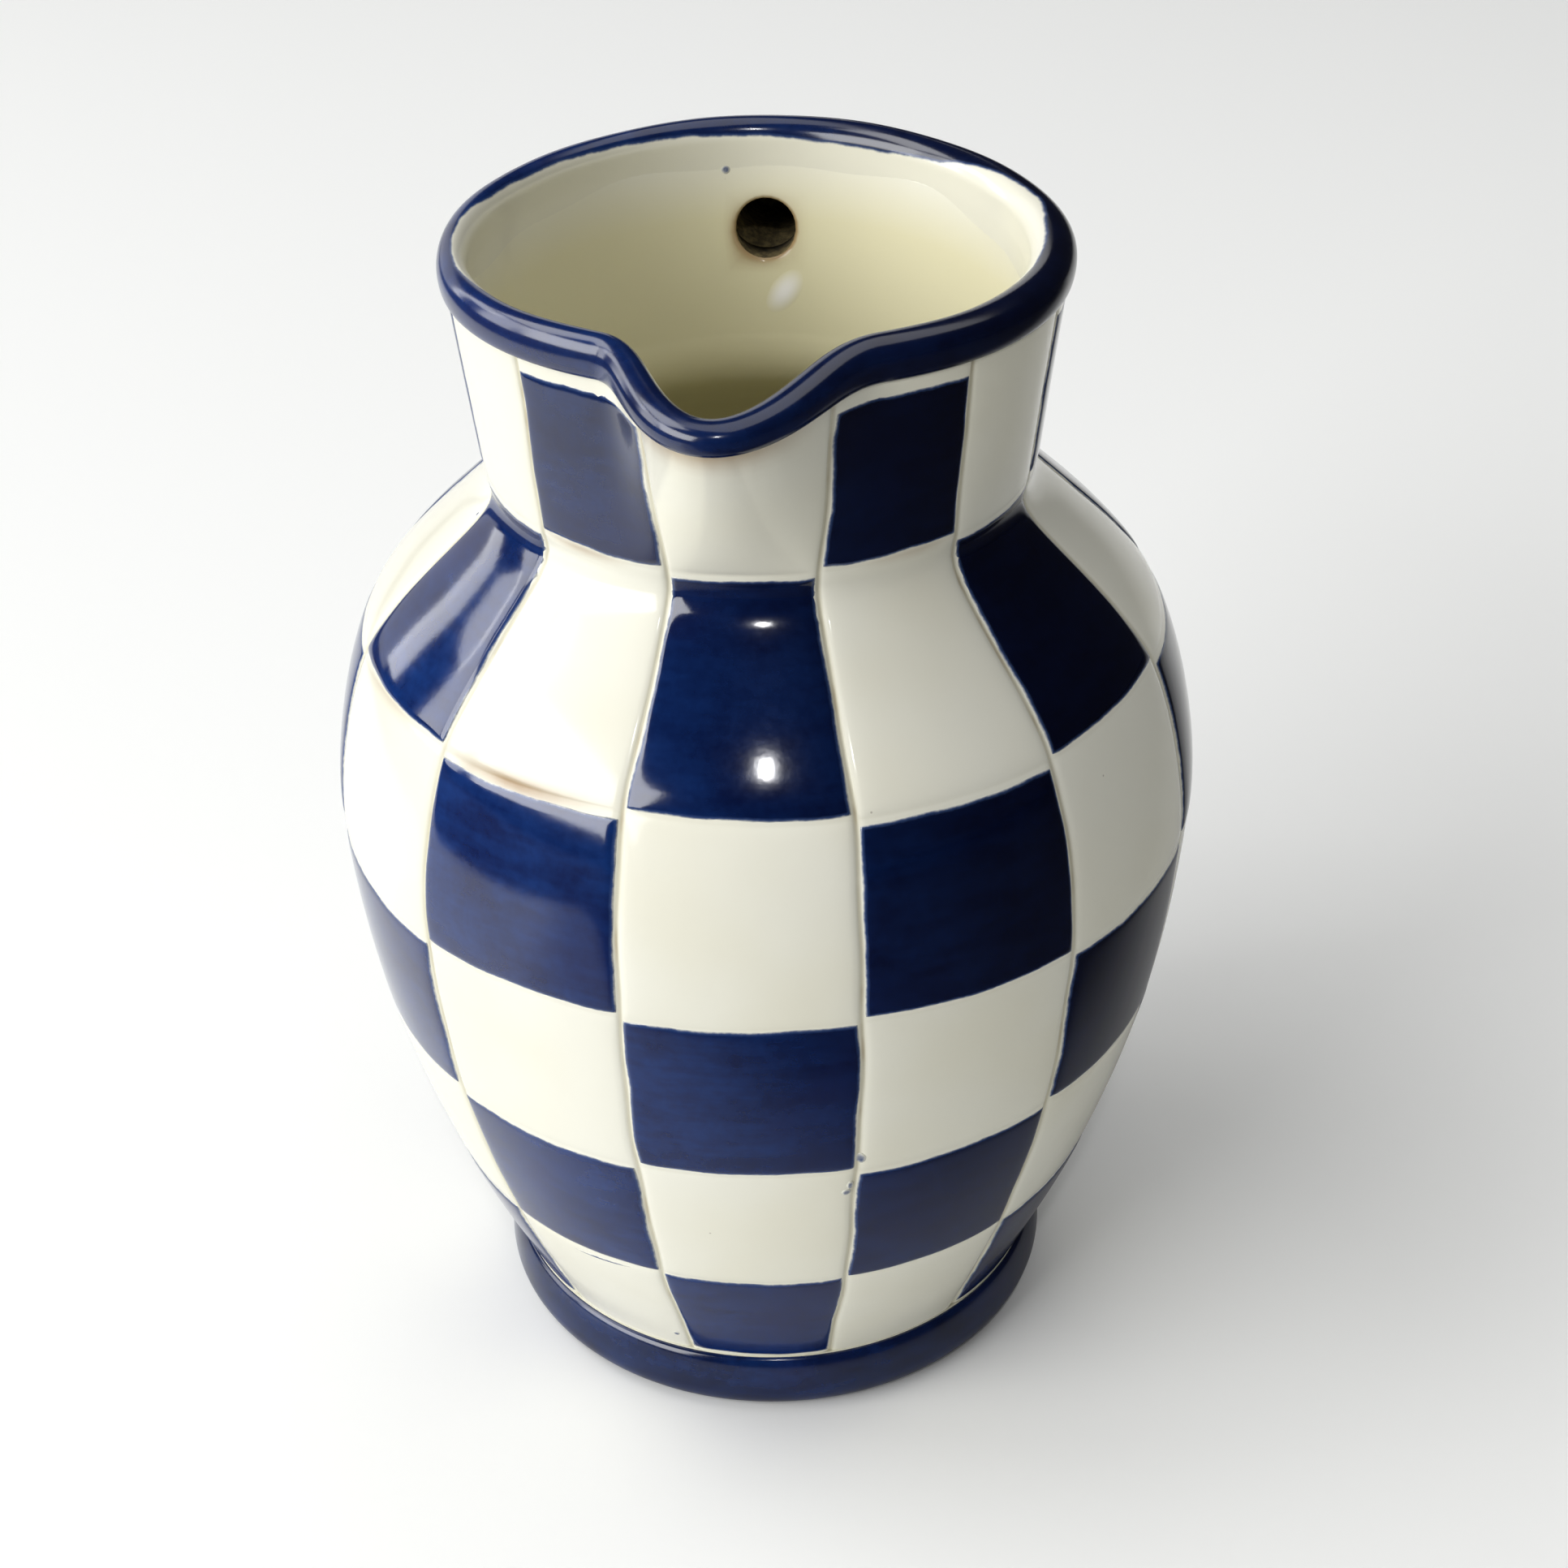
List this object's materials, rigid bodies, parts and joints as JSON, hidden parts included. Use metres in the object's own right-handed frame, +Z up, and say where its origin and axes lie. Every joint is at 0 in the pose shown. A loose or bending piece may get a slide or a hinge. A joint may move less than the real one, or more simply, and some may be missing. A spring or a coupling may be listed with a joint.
{
  "type": "faience jug",
  "caption": "Round-bellied glazed jug with a flared neck, a pulled pouring lip, a rolled rim, a foot ring and a hollow loop handle, checked in cobalt and cream.",
  "frame": {"origin": "on the surface that the jug stands on, under the middle of the whole jug, handle included", "axes": "+Z up; the pouring lip points to -Y and the handle to +Y, so +X is to the right of someone who faces the lip"},
  "size_m": [0.14, 0.1672, 0.196],
  "materials": {
    "cream_glaze": "gloss",
    "cobalt_trim": "gloss",
    "cobalt_field": "gloss"
  },
  "bodies": {
    "root": {"foot": "cobalt_trim", "belly": "cream_glaze", "neck": "cream_glaze", "rim": "cobalt_trim", "handle": "cobalt_trim", "cobalt_e_0": "cobalt_field", "cobalt_e_2": "cobalt_field", "cobalt_e_4": "cobalt_field", "cobalt_e_6": "cobalt_field", "cobalt_e_8": "cobalt_field", "cobalt_e_10": "cobalt_field", "cobalt_d_1": "cobalt_field", "cobalt_d_3": "cobalt_field", "cobalt_d_5": "cobalt_field", "cobalt_d_7": "cobalt_field", "cobalt_d_9": "cobalt_field", "cobalt_d_11": "cobalt_field", "cobalt_c_0": "cobalt_field", "cobalt_c_2": "cobalt_field", "cobalt_c_4": "cobalt_field", "cobalt_c_6": "cobalt_field", "cobalt_c_8": "cobalt_field", "cobalt_c_10": "cobalt_field", "cobalt_b_1": "cobalt_field", "cobalt_b_3": "cobalt_field", "cobalt_b_5": "cobalt_field", "cobalt_b_7": "cobalt_field", "cobalt_b_9": "cobalt_field", "cobalt_b_11": "cobalt_field", "cobalt_a_0": "cobalt_field", "cobalt_a_2": "cobalt_field", "cobalt_a_4": "cobalt_field", "cobalt_a_6": "cobalt_field", "cobalt_a_8": "cobalt_field", "cobalt_a_10": "cobalt_field", "cobalt_neck_1": "cobalt_field", "cobalt_neck_3": "cobalt_field", "cobalt_neck_5": "cobalt_field", "cobalt_neck_7": "cobalt_field", "cobalt_neck_9": "cobalt_field", "cobalt_neck_11": "cobalt_field"}
  },
  "joints": []
}
